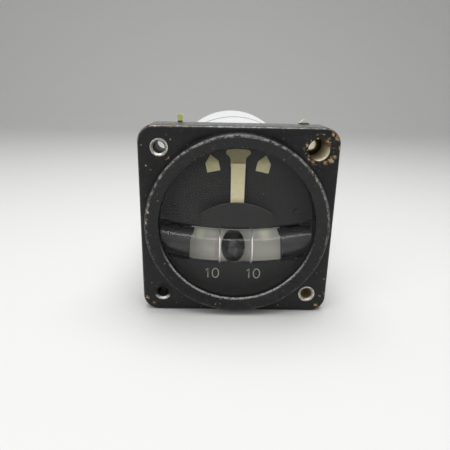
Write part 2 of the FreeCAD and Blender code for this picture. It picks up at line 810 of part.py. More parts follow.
def make_chassis():
    front_holes = [
        rod_y(bearing_outer_r + press_gap, plate_y, plate_back_y),
        rod_y(bush_outer_r + press_gap, plate_y, plate_back_y, 0, pointer_z),
    ]
    screws = []
    pillars = []
    for angle in lug_angles:
        x, z = on_circle(lug_circle_r, angle)
        front_holes.append(rod_y(chassis_screw_r + press_gap, plate_y, plate_back_y, x, z))
        shank = rod_y(chassis_screw_r, plate_y - chassis_screw_depth, plate_back_y, x, z)
        head = rod_y(chassis_screw_head_r, plate_back_y, plate_back_y + chassis_screw_head, x, z)
        screws.append(joined([shank, head]))
    for angle in pillar_angles:
        x, z = on_circle(pillar_circle_r, angle)
        front_holes.append(rod_y(pillar_spigot_r + press_gap, plate_y, plate_back_y, x, z))
        pillars.append(joined([rod_y(pillar_r, plate_back_y, rear_plate_y, x, z),
                               rod_y(pillar_spigot_r, plate_y, rear_plate_back_y, x, z)]))
    for side in (-1, 1):
        front_holes.append(rod_y(dial_screw_r + press_gap, plate_y, plate_back_y, side * post_x, post_z))
        front_holes.append(rod_y(stop_r + press_gap, plate_y, plate_back_y, side * stop_x(), stop_z))
    save("chassis_front_plate", rod_y(plate_r, plate_y, plate_back_y).cut(front_holes))
    save("chassis_screws", *screws)
    save("chassis_pillars", *pillars)
    save("limit_stops", *[rod_y(stop_r, plate_y, gimbal_front_y, side * stop_x(), stop_z)
                          for side in (-1, 1)])
    rear_holes = [rod_y(bearing_outer_r + press_gap, rear_plate_y, rear_plate_back_y)]
    for angle in pillar_angles:
        x, z = on_circle(pillar_circle_r, angle)
        rear_holes.append(rod_y(pillar_spigot_r + press_gap, rear_plate_y, rear_plate_back_y, x, z))
    lug = block(-adjuster_lug_half_x, adjuster_lug_half_x, rear_work_y - adjuster_lug_half_x, rear_plate_y,
                -adjuster_lug_bottom, -adjuster_lug_top)
    rear = joined([rod_y(rear_plate_r, rear_plate_y, rear_plate_back_y), lug])
    thread = rod_z(adjuster_r + press_gap, -adjuster_lug_bottom - over, -adjuster_lug_top + over,
                   0, rear_work_y)
    save("chassis_rear_plate", rear.cut(rear_holes + [thread]))


def make_gimbal():
    back_y = gimbal_back_y
    frame = block(-gimbal_half_x, gimbal_half_x, gimbal_front_y, back_y, -gimbal_half_z, gimbal_half_z)
    window = block(-gimbal_side_x, gimbal_side_x, gimbal_front_y + gimbal_bar, gimbal_rear_y,
                   -gimbal_half_z, gimbal_half_z)
    front_shoulder = rod_y(pivot_shoulder_r, plate_back_y + shoulder_gap, gimbal_front_y)
    rear_shoulder = rod_y(pivot_shoulder_r, back_y, rear_plate_y - shoulder_gap)
    front_pivot = rod_y(pivot_r, plate_y + fit_gap, gimbal_front_y)
    rear_pivot = rod_y(pivot_r, back_y, rear_plate_back_y - fit_gap)
    body = joined([frame.cut(window), front_shoulder, rear_shoulder, front_pivot, rear_pivot])
    seats = [rod_x(spin_bearing_r + press_gap, x, x + gimbal_bar, rotor_y)
             for x in (-gimbal_half_x, gimbal_side_x)]
    save("gimbal_frame", body.cut(seats))
    save("gimbal_bearings", *[ring_y(bearing_outer_r, pivot_r + running_gap, y, y + plate_thick)
                              for y in (plate_y, rear_plate_y)])
    arm_y = gimbal_front_y - drive_arm_thick
    bar = block(-drive_arm_half, drive_arm_half, arm_y, gimbal_front_y, -drive_pin_radius - drive_arm_half, 0)
    arm = joined([bar, rod_y(drive_arm_hub_r, arm_y, gimbal_front_y)])
    save("drive_arm", arm.cut([rod_y(pivot_shoulder_r + press_gap, arm_y, gimbal_front_y),
                               rod_y(drive_pin_r + press_gap, arm_y, gimbal_front_y, 0, -drive_pin_radius)]))
    save("drive_pin", rod_y(drive_pin_r, plate_back_y + drive_pin_gap, gimbal_front_y, 0, -drive_pin_radius))
    rear_arm_y = back_y + rear_arm_thick
    rear_arm = block(-rear_arm_half, rear_arm_half, back_y, rear_arm_y, spring_pin_z - rear_arm_half,
                     damper_z + rear_arm_half)
    pin_end = rear_work_y + yoke_half_y + fit_gap
    rear_pins = [rod_y(damper_pin_r, rear_arm_y, pin_end, 0, damper_z),
                 rod_y(spring_pin_r, rear_arm_y, pin_end, 0, spring_pin_z)]
    rear_arm = rear_arm.cut(rod_y(pivot_shoulder_r + press_gap, back_y, rear_arm_y))
    save("rear_arm", joined([rear_arm] + rear_pins))


def make_rotor():
    shaft_end = gimbal_half_x - shaft_end_gap
    save("rotor_shaft", rod_x(shaft_r, -shaft_end, shaft_end, rotor_y))
    bore = rod_x(shaft_r + press_gap, -shaft_end, shaft_end, rotor_y)
    rim = ring_x(rotor_r, rotor_r - rotor_rim, -rotor_half_x, rotor_half_x, rotor_y)
    web = rod_x(rotor_r, -rotor_half_x, -rotor_half_x + rotor_web, rotor_y)
    hub = rod_x(rotor_hub_r, -rotor_half_x - rotor_web / 2, magnet_start_x - magnet_gap, rotor_y)
    save("rotor_flywheel", joined([rim, web, hub]).cut(bore))
    winding_r = rotor_r - rotor_rim - press_gap
    save("rotor_winding", ring_x(winding_r, winding_r - winding_thick, winding_start_x,
                                 rotor_half_x - winding_margin, rotor_y))
    save("commutator", rod_x(commutator_r, commutator_x, commutator_x + commutator_width, rotor_y).cut(bore))
    save("spin_bearings", *[ring_x(spin_bearing_r, shaft_r + running_gap, x, x + gimbal_bar, rotor_y)
                            for x in (-gimbal_half_x, gimbal_side_x)])
    magnet_r = winding_r - winding_thick - magnet_gap
    save("field_magnet", ring_x(magnet_r, magnet_bore_r + press_gap, magnet_start_x, magnet_end_x, rotor_y))
    carrier = joined([rod_x(magnet_bore_r, magnet_start_x, gimbal_side_x, rotor_y),
                      rod_x(carrier_flange_r, gimbal_side_x - carrier_flange, gimbal_side_x, rotor_y)])
    save("magnet_carrier", carrier.cut(rod_x(carrier_bore_r, magnet_start_x, gimbal_side_x, rotor_y)))


def make_brushes():
    plate_x = -gimbal_side_x
    bar_end = commutator_x + commutator_width
    middle = commutator_x + commutator_width / 2
    holder = ring_x(holder_r, rotor_hub_r, plate_x, plate_x + holder_thick, rotor_y)
    bars = []
    brushes = []
    holes = []
    for side in (-1, 1):
        low, high = sorted((side * holder_bar_inner, side * holder_r))
        bars.append(block(plate_x, bar_end, rotor_y - holder_bar_half, rotor_y + holder_bar_half, low, high))
        inner = commutator_r + brush_gap
        low, high = sorted((side * inner, side * (inner + brush_length)))
        brushes.append(rod_z(brush_r, low, high, middle, rotor_y))
        holes.append(rod_z(brush_r + press_gap, low, high, middle, rotor_y))
    save("brush_holder", joined([holder] + bars).cut(holes))
    save("brushes", *brushes)


def make_damper():
    y = rear_work_y
    cylinder = rod_x(damper_outer_r, damper_start_x, damper_end_x, y, damper_z)
    bore = rod_x(damper_bore_r, damper_start_x, damper_end_x - damper_cap, y, damper_z)
    middle = (damper_start_x + damper_end_x) / 2
    foot = block(middle - damper_foot_half_x, middle + damper_foot_half_x, y, rear_plate_y,
                 damper_z - damper_foot_half_z, damper_z + damper_foot_half_z)
    save("damper_cylinder", joined([cylinder, foot]).cut(bore))
    yoke = block(-yoke_half_x, yoke_half_x, y - yoke_half_y, y + yoke_half_y,
                 damper_z - yoke_half_z, damper_z + yoke_half_z)
    slot_half = damper_pin_r + damper_slot_gap
    slot = block(-slot_half, slot_half, y - yoke_half_y, y + yoke_half_y,
                 damper_z - yoke_slot_half_z, damper_z + yoke_slot_half_z)
    rod = rod_x(piston_rod_r, yoke_half_x, piston_x, y, damper_z)
    piston = rod_x(damper_bore_r - piston_gap, piston_x, piston_x + piston_thick, y, damper_z)
    save("damper_piston", joined([yoke.cut(slot), rod, piston]))


def make_spring():
    top_z = spring_pin_z - spring_pin_r - spring_seat_gap - spring_wire_r
    pitch = (top_z - spring_bottom_z) / spring_turns
    helix = Part.makeHelix(pitch, top_z - spring_bottom_z, spring_r)
    helix.translate(V(0, rear_work_y, spring_bottom_z))
    circle = Part.Circle(V(spring_r, rear_work_y, spring_bottom_z), ALONG_Y, spring_wire_r)
    section = Part.Wire(circle.toShape())
    save("centring_spring", Part.Wire(helix).makePipeShell([section], True, True))
    head_top = spring_bottom_z - spring_wire_r - spring_seat_gap
    head = rod_z(adjuster_head_r, head_top - adjuster_head, head_top, 0, rear_work_y)
    stem = rod_z(adjuster_r, head_top - adjuster_head - adjuster_length, head_top, 0, rear_work_y)
    save("spring_adjuster", joined([head, stem]))


def make_filter_parts():
    y0 = rear_plate_back_y
    can = rod_y(capacitor_r, y0, y0 + capacitor_length, capacitor_x)
    end = y0 + capacitor_length
    tags = [rod_y(capacitor_tag_r, end, end + capacitor_tag_length, capacitor_x, side * capacitor_tag_z)
            for side in (-1, 1)]
    save("filter_capacitor", joined([can] + tags))
    save("filter_choke", ring_y(choke_outer_r, choke_bore_r, y0, y0 + choke_length, choke_x))


def case_screw_hole(angle, y):
    """The countersunk hole of a radial case screw."""
    head_r = case_screw_head_r + press_gap
    shank_r = case_screw_r + press_gap
    cone = Part.makeCone(shank_r, head_r, case_screw_head, V(0, y, case_outer_r - case_screw_head), ALONG_Z)
    rim = rod_z(head_r, case_outer_r, case_outer_r + over, 0, y)
    hole = rod_z(shank_r, case_outer_r - case_screw_length - fit_gap, case_outer_r, 0, y)
    cutter = joined([cone, rim, hole])
    cutter.rotate(V(0, 0, 0), ALONG_Y, 90 - angle)
    return cutter


def case_screw(angle, y):
    """A countersunk screw that lies radially in the case."""
    top = case_outer_r - press_gap
    head_at = V(0, y, top - case_screw_head)
    head = Part.makeCone(case_screw_r, case_screw_head_r, case_screw_head, head_at, ALONG_Z)
    shank = rod_z(case_screw_r, case_outer_r - case_screw_length, top - case_screw_head, 0, y)
    slot = block(-case_screw_head_r, case_screw_head_r, y - screw_slot_half, y + screw_slot_half,
                 top - case_screw_head / 2, top)
    screw = joined([head, shank]).cut(slot)
    screw.rotate(V(0, 0, 0), ALONG_Y, 90 - angle)
    return screw


def make_case():
    front_screw_y = flange_thick + spigot_length / 2
    rear_screw_y = case_joint_y - rear_screw_from_joint
    front_holes = [case_screw_hole(a, front_screw_y) for a in case_screw_angles]
    joint_holes = [case_screw_hole(a, rear_screw_y) for a in case_screw_angles]
    front = turned([(case_inner_r, flange_thick), (case_outer_r, flange_thick),
                    (case_outer_r, case_joint_y - joint_bevel), (case_outer_r - joint_bevel, case_joint_y),
                    (case_inner_r, case_joint_y)])
    save("front_case", front.cut(front_holes + joint_holes))
    nose_r = case_inner_r - fit_gap
    nose_inner_r = nose_r - nose_wall
    nose_y = case_joint_y - nose_length
    inner_end = case_rear_y - rear_wall
    rear = turned([(nose_inner_r, nose_y), (nose_r, nose_y), (nose_r, case_joint_y),
                   (case_outer_r - joint_bevel, case_joint_y), (case_outer_r, case_joint_y + joint_bevel),
                   (case_outer_r, case_rear_y), (0, case_rear_y), (0, inner_end),
                   (case_inner_r, inner_end), (case_inner_r, case_joint_y + case_wall),
                   (nose_inner_r, case_joint_y + case_wall)])
    edge = [e for e in rear.Edges
            if e.BoundBox.YMin > case_rear_y - edge_reach and e.BoundBox.ZMax > case_inner_r]
    rear = rear.makeFillet(case_edge_r, edge)
    seal_y = case_joint_y - seal_from_joint
    seal_centre_r = case_inner_r - seal_r - press_gap
    groove = ring_y(nose_r + over, seal_centre_r - seal_r - press_gap, seal_y - seal_r - press_gap,
                    seal_y + seal_r + press_gap)
    half = socket_hole_spacing / 2
    wall_holes = [rod_y(socket_screw_r + press_gap, inner_end, case_rear_y, x, z)
                  for x in (-half, half) for z in (-half, half)]
    wall_holes.append(rod_y(socket_tail_r + fit_gap, inner_end, case_rear_y))
    save("rear_case", rear.cut([groove] + joint_holes + wall_holes))
    save("case_seal", Part.makeTorus(seal_centre_r, seal_r, V(0, seal_y, 0), ALONG_Y))
    screws = [case_screw(a, y) for y in (front_screw_y, rear_screw_y) for a in case_screw_angles]
    save("case_screws", *screws)


def make_connector():
    half = socket_hole_spacing / 2
    corners = [(x, z) for x in (-half, half) for z in (-half, half)]
    flange = rounded_square(socket_flange_side, socket_corner_r, case_rear_y, socket_y)
    barrel = rod_y(socket_thread_r, socket_y, socket_end_y)
    tail = rod_y(socket_tail_r, case_rear_y - socket_tail_length, case_rear_y)
    bore = rod_y(socket_inner_r, case_rear_y - socket_tail_length, socket_end_y)
    holes = [rod_y(socket_screw_r + press_gap, case_rear_y, socket_y, x, z) for x, z in corners]
    save("connector_shell", joined([flange, barrel, tail]).cut([bore] + holes))
    insert_front = socket_end_y - insert_recess
    insert_rear = case_rear_y - insert_back
    insert = rod_y(socket_inner_r - press_gap, insert_rear, insert_front)
    contacts = []
    contact_holes = []
    for angle in contact_angles:
        x, z = on_circle(contact_circle_r, angle)
        pin = rod_y(contact_r, insert_rear, socket_end_y - contact_tip_gap, x, z)
        cup = rod_y(contact_cup_r, insert_rear - contact_cup_length, insert_rear, x, z)
        contacts.append(joined([pin, cup]))
        contact_holes.append(rod_y(contact_r + press_gap, insert_rear, insert_front, x, z))
    save("connector_insert", insert.cut(contact_holes))
    save("connector_pins", *contacts)
    screws = []
    nuts = []
    nut_back = case_rear_y - rear_wall
    nut_front = nut_back - socket_nut_thick
    for x, z in corners:
        head = rod_y(socket_screw_head_r, socket_y, socket_y + socket_screw_head, x, z)
        slot = block(x - socket_screw_head_r, x + socket_screw_head_r, socket_y + socket_screw_head / 2,
                     socket_y + socket_screw_head + over, z - screw_slot_half, z + screw_slot_half)
        shank = rod_y(socket_screw_r, nut_front, socket_y, x, z)
        screws.append(joined([head.cut(slot), shank]))
        nut = hexagon(socket_nut_r, nut_front, nut_back, x, z)
        nuts.append(nut.cut(rod_y(socket_screw_r + press_gap, nut_front, nut_back, x, z)))
    save("connector_screws", *screws)
    save("connector_nuts", *nuts)


make_flange_housing()
make_panel_fittings()
make_bezel_and_stack()
make_dial()
make_dial_marks()
make_dial_supports()
make_shield()
make_inclinometer()
make_pointer()
make_chassis()
make_gimbal()
make_rotor()
make_brushes()
make_damper()
make_spring()
make_filter_parts()
make_case()
make_connector()
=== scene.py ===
"""Looks of the aircraft turn and slip indicator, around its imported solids.

Every object is in metres in the part's frame: +X right, +Y into the panel, +Z up, with the origin at the
centre of the four panel screw holes on the flange's front face. Sizes below are in millimetres.
"""

import json
import math

import bmesh
import bpy
from mathutils import Euler, Matrix, Vector
from mathutils.geometry import tessellate_polygon


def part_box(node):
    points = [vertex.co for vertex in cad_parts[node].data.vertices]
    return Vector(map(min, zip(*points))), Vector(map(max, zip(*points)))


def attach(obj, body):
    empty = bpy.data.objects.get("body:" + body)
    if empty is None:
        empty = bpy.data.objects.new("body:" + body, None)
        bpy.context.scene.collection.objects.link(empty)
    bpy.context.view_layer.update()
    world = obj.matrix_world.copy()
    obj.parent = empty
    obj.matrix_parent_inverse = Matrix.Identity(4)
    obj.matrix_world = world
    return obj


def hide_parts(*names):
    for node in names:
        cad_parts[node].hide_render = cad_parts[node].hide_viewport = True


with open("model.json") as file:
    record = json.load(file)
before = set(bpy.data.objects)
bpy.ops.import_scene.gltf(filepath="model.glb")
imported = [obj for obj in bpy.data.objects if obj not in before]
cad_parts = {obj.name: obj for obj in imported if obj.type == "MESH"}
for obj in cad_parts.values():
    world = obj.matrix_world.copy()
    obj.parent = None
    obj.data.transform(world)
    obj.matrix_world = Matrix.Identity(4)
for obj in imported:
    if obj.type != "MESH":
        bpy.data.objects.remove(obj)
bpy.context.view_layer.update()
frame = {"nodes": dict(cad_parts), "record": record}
nodes = frame["nodes"]
MM = 0.001

# Camera, solved from the flange's edges and its four holes
CAMERA_AT = (-5.68, -123.95, 41.35)
CAMERA_PITCH, CAMERA_YAW, CAMERA_ROLL = 18.497, 0.915, -1.211
LENS, SENSOR = 33.6, 36.0

# Flange plate
FLANGE_HALF = 30.0
FLANGE_THICK = 12.0
FLANGE_CORNER_R = 5.0
FLANGE_EDGE_R = 0.9
HOLE_AT = 23.57
INSERT_HOLE_R = 2.67
TORN_HOLE_R = 3.25
HOLE_EDGE_R = 0.15
BORE_R = 27.2
THREAD_PITCH = 0.79
INSERT_BORE_R = 1.9

# Bezel ring, whose crest stands in front of the flange and slopes in to a lip over the glass
RING_OUTER_R = 28.5
RING_CREST_R = 27.4
RING_LIP_R = 24.1
RING_SEAT_R = 25.9
RING_SPIGOT_R = 27.25
RING_CREST_Y = -4.0
RING_LIP_Y = -2.75
RING_SEAT_Y = -2.2
RING_SPIGOT_Y = 0.7

# Pointer shield's top arc and the band of its painted edge highlight, the joint of the two case shells and
# the painted shade across it, and where the clips' bare tips begin
SHIELD_ARC_Z = -12.75
SHIELD_HIGHLIGHT_R = (19.28, 19.42)
CASE_JOINT_Y = 53.0
CASE_JOINT_SHADE = (1.6, 0.9)
CLIP_TIP_Z = (30.1, 30.5)

# Inclinometer tube, read from its solid apart from the radius that it is bent to
tube_low, tube_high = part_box("inclinometer_tube")
TUBE_Y = (tube_low[1] + tube_high[1]) / 2 / MM
TUBE_R = (tube_high[1] - tube_low[1]) / 2 / MM
TUBE_Z = tube_low[2] / MM + TUBE_R
TUBE_HALF_SPAN = tube_high[0] / MM
TUBE_BEND_R = 115.0

# Chips in the paint, as (x, z, radius) on the flange's front and on the ring's crest
FLANGE_CHIPS = [
    (-24.3, 29.9, 0.7), (-20.0, 30.0, 0.9), (-15.7, 30.0, 0.6), (28.6, 27.2, 0.9), (27.3, 28.3, 0.7),
    (-28.7, -25.6, 0.8), (-30.0, -23.8, 0.6), (28.1, -24.4, 0.5), (27.0, -27.7, 0.7), (29.6, -23.3, 0.5),
    (20.0, 24.7, 0.7), (27.6, 20.4, 0.9), (22.2, 20.0, 0.7), (26.5, 24.8, 0.6), (25.8, 19.8, 0.8),
    (28.3, 21.6, 0.7), (-21.0, 20.4, 0.45), (-20.0, 26.0, 0.35), (-21.5, 27.4, 0.3), (-27.6, 18.2, 0.35),
    (-26.2, 16.8, 0.25), (-26.6, -27.6, 0.6), (29.8, 24.4, 0.7), (-29.9, -26.9, 0.6),
]
RING_CHIPS = [
    (-9.7, 27.2, 0.5), (-7.2, 27.6, 0.6), (-26.9, 4.6, 0.5), (23.0, 15.2, 0.35), (21.3, 17.8, 0.3),
    (-2.5, 28.5, 0.3), (-26.5, 7.1, 0.4), (-27.6, 1.5, 0.3),
]
DIAL_SPECKS = [(18.9, 18.7, 0.28), (8.3, 9.0, 0.16), (9.7, 6.1, 0.14), (-19.5, 3.4, 0.2)]

# Numerals on the lower dial, in strokes of this half width
NUMERAL_TOP = -16.7
NUMERAL_BOTTOM = -20.0
NUMERAL_CENTRES = (-7.6, 6.1)
NUMERAL_STROKE_R = 0.17
DIAL_FRONT_Y = 4.0


class Graph:
    """A material's node graph, with short names for the nodes that the finishes share."""

    def __init__(self, name):
        self.material = bpy.data.materials.new(name)
        self.material.use_nodes = True
        self.tree = self.material.node_tree
        self.tree.nodes.clear()
        self.output = self.node("ShaderNodeOutputMaterial")
        coords = self.node("ShaderNodeTexCoord")
        self.position = self.vector("SCALE", coords.outputs["Object"], scale=1000.0)
        split = self.node("ShaderNodeSeparateXYZ")
        self.link(self.position, split.inputs[0])
        self.x, self.y, self.z = split.outputs

    def node(self, kind):
        return self.tree.nodes.new(kind)

    def link(self, source, target):
        if isinstance(source, bpy.types.NodeSocket):
            self.tree.links.new(source, target)
        elif source is not None:
            target.default_value = source

    def vector(self, operation, a, b=None, scale=None):
        node = self.node("ShaderNodeVectorMath")
        node.operation = operation
        self.link(a, node.inputs[0])
        self.link(b, node.inputs[1])
        if scale is not None:
            node.inputs["Scale"].default_value = scale
        return node.outputs["Value" if operation in ("DISTANCE", "LENGTH", "DOT_PRODUCT") else "Vector"]

    def math(self, operation, a, b=None, clamp=False):
        node = self.node("ShaderNodeMath")
        node.operation = operation
        node.use_clamp = clamp
        self.link(a, node.inputs[0])
        self.link(b, node.inputs[1])
        return node.outputs[0]

    def step(self, value, low, high, to_low=0.0, to_high=1.0):
        """A smooth step of value between low and high."""
        node = self.node("ShaderNodeMapRange")
        node.interpolation_type = "SMOOTHSTEP"
        self.link(value, node.inputs["Value"])
        for name, number in (("From Min", low), ("From Max", high), ("To Min", to_low), ("To Max", to_high)):
            node.inputs[name].default_value = number
        return node.outputs["Result"]

    def noise(self, scale, detail=3.0, at=None, roughness=0.5, squash=None):
        """Noise on millimetres, so a scale of 1 has features about 1 mm apart."""
        where = self.position if at is None else at
        if squash:
            where = self.vector("MULTIPLY", where, squash)
        node = self.node("ShaderNodeTexNoise")
        self.link(where, node.inputs["Vector"])
        node.inputs["Scale"].default_value = scale
        node.inputs["Detail"].default_value = detail
        node.inputs["Roughness"].default_value = roughness
        return node.outputs["Fac"]

    def specks(self, spacing, radius, share):
        """Round specks of up to a radius, in a share of the cells that lie a spacing apart."""
        node = self.node("ShaderNodeTexVoronoi")
        self.link(self.position, node.inputs["Vector"])
        node.inputs["Scale"].default_value = 1.0 / spacing
        chance = self.vector("DOT_PRODUCT", node.outputs["Color"], (1.0, 0.0, 0.0))
        size = self.step(chance, 0.0, share, radius / spacing, radius / spacing * 0.3)
        inside = self.step(self.math("SUBTRACT", node.outputs["Distance"], size), -0.05, 0.03, 1.0, 0.0)
        return self.math("MULTIPLY", inside, self.step(chance, share, share * 0.98))

    def blend(self, factor, a, b):
        node = self.node("ShaderNodeMix")
        node.data_type = "RGBA"
        self.link(factor, node.inputs["Factor"])
        for name, colour in (("A", a), ("B", b)):
            socket = next(s for s in node.inputs if s.name == name and s.type == "RGBA")
            self.link(colour if isinstance(colour, bpy.types.NodeSocket) else (*colour, 1.0), socket)
        return next(s for s in node.outputs if s.type == "RGBA")

    def near(self, places, y, ragged=0.5):
        """1 inside the ragged spots at (x, z, radius) on the plane at y, and 0 outside."""
        nearest = None
        for px, pz, radius in places:
            gap = self.math("SUBTRACT", self.vector("DISTANCE", self.position, (px, y, pz)), radius)
            nearest = gap if nearest is None else self.math("MINIMUM", nearest, gap)
        unevenness = self.math("SUBTRACT", self.noise(2.2, 5.0, roughness=0.65), 0.42)
        edge = self.math("ADD", nearest, self.math("MULTIPLY", unevenness, 5.0 * ragged))
        return self.step(edge, -0.06, 0.06, 1.0, 0.0)

    def from_axis(self, cx=0.0, cz=0.0):
        """The distance from the line along Y through (cx, cz)."""
        flat = self.vector("MULTIPLY", self.vector("SUBTRACT", self.position, (cx, 0.0, cz)), (1.0, 0.0, 1.0))
        return self.vector("LENGTH", flat)

    def turned(self, radius, scale=6.0):
        """Coordinates that vary quickly across a turned surface and not along its rings."""
        node = self.node("ShaderNodeCombineXYZ")
        self.link(self.math("MULTIPLY", radius, scale), node.inputs[0])
        self.link(self.math("MULTIPLY", self.y, scale), node.inputs[1])
        return node.outputs[0]

    def bump(self, height, distance):
        """A bump of a height in millimetres."""
        node = self.node("ShaderNodeBump")
        node.inputs["Strength"].default_value = 1.0
        node.inputs["Distance"].default_value = distance * MM
        self.link(height, node.inputs["Height"])
        return node.outputs[0]

    def surface(self, colour, roughness, normal=None, metallic=0.0, **sockets):
        """The finished material, with any further socket of the shader given by its name."""
        shader = self.node("ShaderNodeBsdfPrincipled")
        self.link(colour if isinstance(colour, bpy.types.NodeSocket) else (*colour, 1.0),
                  shader.inputs["Base Color"])
        self.link(roughness, shader.inputs["Roughness"])
        self.link(metallic, shader.inputs["Metallic"])
        if normal is not None:
            self.link(normal, shader.inputs["Normal"])
        for name, value in sockets.items():
            shader.inputs[name.replace("_", " ")].default_value = value
        self.link(shader.outputs[0], self.output.inputs["Surface"])
        return self.material


def wear_and_highlight_mask(g, amount):
    """Broken-up wear and painted highlight, more of it where amount is high."""
    grain = g.math("MULTIPLY", g.noise(0.9, 5.0, roughness=0.65), g.noise(4.0, 2.0))
    return g.step(g.math("MULTIPLY", grain, amount), 0.17, 0.30)


def paint_base(g, base, dust):
    """Black paint's colour with slight mottling and pale dust specks."""
    mottled = g.blend(g.noise(0.35, 4.0), tuple(c * 0.75 for c in base), tuple(c * 1.5 for c in base))
    few = g.math("MULTIPLY", g.specks(1.6, 0.24, 0.30), g.step(g.noise(0.12, 2.0), 0.40, 0.62, 0.45, 1.0))
    fine = g.math("MULTIPLY", g.specks(0.8, 0.16, 0.22), g.step(g.noise(0.2, 2.0), 0.42, 0.62, 0.3, 0.9))
    haze = g.step(g.noise(0.5, 6.0, roughness=0.75), 0.52, 0.78, 0.0, 0.10)
    return g.blend(g.math("MAXIMUM", g.math("MAXIMUM", few, fine), haze), mottled, dust)


def flange_paint():
    """Black paint, rubbed along the front edge with a painted highlight that grows towards the top, chipped,
    and flaked off round the torn hole, whose lower right wall has a painted highlight.
    """
    g = Graph("flange_paint")
    colour = paint_base(g, (0.0065, 0.0065, 0.007), (0.24, 0.22, 0.18))
    offset = g.vector("ABSOLUTE", g.vector("MULTIPLY", g.position, (1.0, 0.0, 1.0)))
    corner = FLANGE_HALF - FLANGE_CORNER_R
    beyond = g.vector("MAXIMUM", g.vector("SUBTRACT", offset, (corner, 0.0, corner)), (0.0, 0.0, 0.0))
    outline = g.math("SUBTRACT", g.vector("LENGTH", beyond), FLANGE_CORNER_R)
    edge_wear_and_highlight = g.math("MULTIPLY", g.step(outline, -0.75, -0.25), g.step(g.y, 0.9, 0.2))
    # The rubbed edge grows towards the top as a painted highlight.
    edge_wear_and_highlight = g.math("MULTIPLY", edge_wear_and_highlight, g.step(g.z, 18.0, 29.0, 0.72, 1.05))
    rubbed_and_highlight = wear_and_highlight_mask(g, edge_wear_and_highlight)
    colour = g.blend(rubbed_and_highlight, colour, (0.25, 0.24, 0.22))
    chips = g.near(FLANGE_CHIPS, 0.0)
    hole_gap = g.from_axis(HOLE_AT, HOLE_AT)
    near_wall = g.step(hole_gap, TORN_HOLE_R + 0.2, TORN_HOLE_R + 0.05)
    inside_hole = g.math("MULTIPLY", near_wall, g.step(g.y, 0.05, 0.3))
    flaked = g.step(g.noise(0.9, 5.0, roughness=0.7), 0.555, 0.585)
    rim_chips = g.math("MULTIPLY", g.step(hole_gap, 5.2, 4.0), flaked)
    rim_chips = g.math("MULTIPLY", rim_chips, g.step(g.y, 0.6, 0.2))
    bare = g.math("MAXIMUM", g.math("MAXIMUM", chips, rim_chips), inside_hole)
    bare_and_lit_wall = g.blend(g.step(g.noise(0.9, 3.0), 0.35, 0.7), (0.16, 0.085, 0.035), (0.46, 0.35, 0.19))
    # Painted highlight: the lower right wall inside the torn hole is painted pale cream, as if lit.
    from_hole = g.vector("SUBTRACT", g.position, (HOLE_AT, 0.0, HOLE_AT))
    across = g.vector("DOT_PRODUCT", from_hole, (0.7, 0.0, -0.7))
    lit_wall = g.math("MULTIPLY", g.step(across, 1.2, 2.6), inside_hole)
    bare_and_lit_wall = g.blend(lit_wall, bare_and_lit_wall, (0.86, 0.80, 0.56))
    colour = g.blend(bare, colour, bare_and_lit_wall)
    roughness = g.math("ADD", g.step(g.noise(0.8, 4.0), 0.3, 0.7, 0.30, 0.46), g.math("MULTIPLY", bare, 0.25))
    grain = g.math("SUBTRACT", g.noise(3.0, 3.0), g.math("MULTIPLY", bare, 0.9))
    return g.surface(colour, roughness, g.bump(grain, 0.05), Specular_IOR_Level=0.30)


def ring_paint():
    """Black paint, worn along the crest with a painted highlight that grows towards the top, and scuffed bare
    low on the lip with a painted highlight along its edge.
    """
    g = Graph("ring_paint")
    colour = paint_base(g, (0.0055, 0.0055, 0.006), (0.22, 0.21, 0.19))
    radius = g.from_axis()
    crest_wear_and_highlight = g.math("MULTIPLY", g.step(g.y, RING_CREST_Y + 0.5, RING_CREST_Y + 0.1),
                   g.step(radius, RING_CREST_R - 0.5, RING_CREST_R))
    # The crest's wear grows towards the top as a painted highlight.
    crest_wear_and_highlight = g.math("MULTIPLY", crest_wear_and_highlight, g.step(g.z, -12.0, 16.0, 0.62, 0.92))
    colour = g.blend(wear_and_highlight_mask(g, crest_wear_and_highlight), colour, (0.24, 0.235, 0.22))
    # Painted highlight along the low lip edge, mixed with scuffs to bare metal.
    lip = g.step(radius, RING_LIP_R + 0.6, RING_LIP_R + 0.15)
    low = g.step(g.z, -4.0, -17.0)
    scuffed_and_lit_lip = g.math("MULTIPLY", g.math("MULTIPLY", lip, low), g.step(g.noise(1.8, 4.0), 0.34, 0.56))
    colour = g.blend(scuffed_and_lit_lip, colour, (0.34, 0.34, 0.33))
    chips = g.near(RING_CHIPS, RING_CREST_Y)
    colour = g.blend(chips, colour, g.blend(g.noise(0.7, 3.0), (0.36, 0.23, 0.10), (0.62, 0.54, 0.36)))
    roughness = g.math("ADD", g.step(g.noise(0.8, 4.0), 0.3, 0.7, 0.24, 0.38), g.math("MULTIPLY", chips, 0.3))
    turning = g.noise(1.0, 2.0, at=g.turned(radius))
    height = g.math("ADD", g.math("MULTIPLY", turning, 0.5), g.noise(3.0, 3.0))
    return g.surface(colour, roughness, g.bump(height, 0.02), Specular_IOR_Level=0.34)


def dial_paint():
    """Matt black with a little dust and a few pale specks."""
    g = Graph("dial_paint")
    colour = g.blend(g.noise(0.5, 4.0), (0.0125, 0.0125, 0.0125), (0.021, 0.021, 0.020))
    dust = g.math("MULTIPLY", g.specks(2.2, 0.05, 0.10), g.step(g.noise(0.3, 2.0), 0.56, 0.7))
    colour = g.blend(g.math("MULTIPLY", dust, 0.5), colour, (0.22, 0.21, 0.17))
    colour = g.blend(g.near(DIAL_SPECKS, DIAL_FRONT_Y, 0.06), colour, (0.42, 0.40, 0.32))
    grain = g.noise(5.0, 2.0)
    return g.surface(colour, 0.62, g.bump(grain, 0.004), Specular_IOR_Level=0.3)


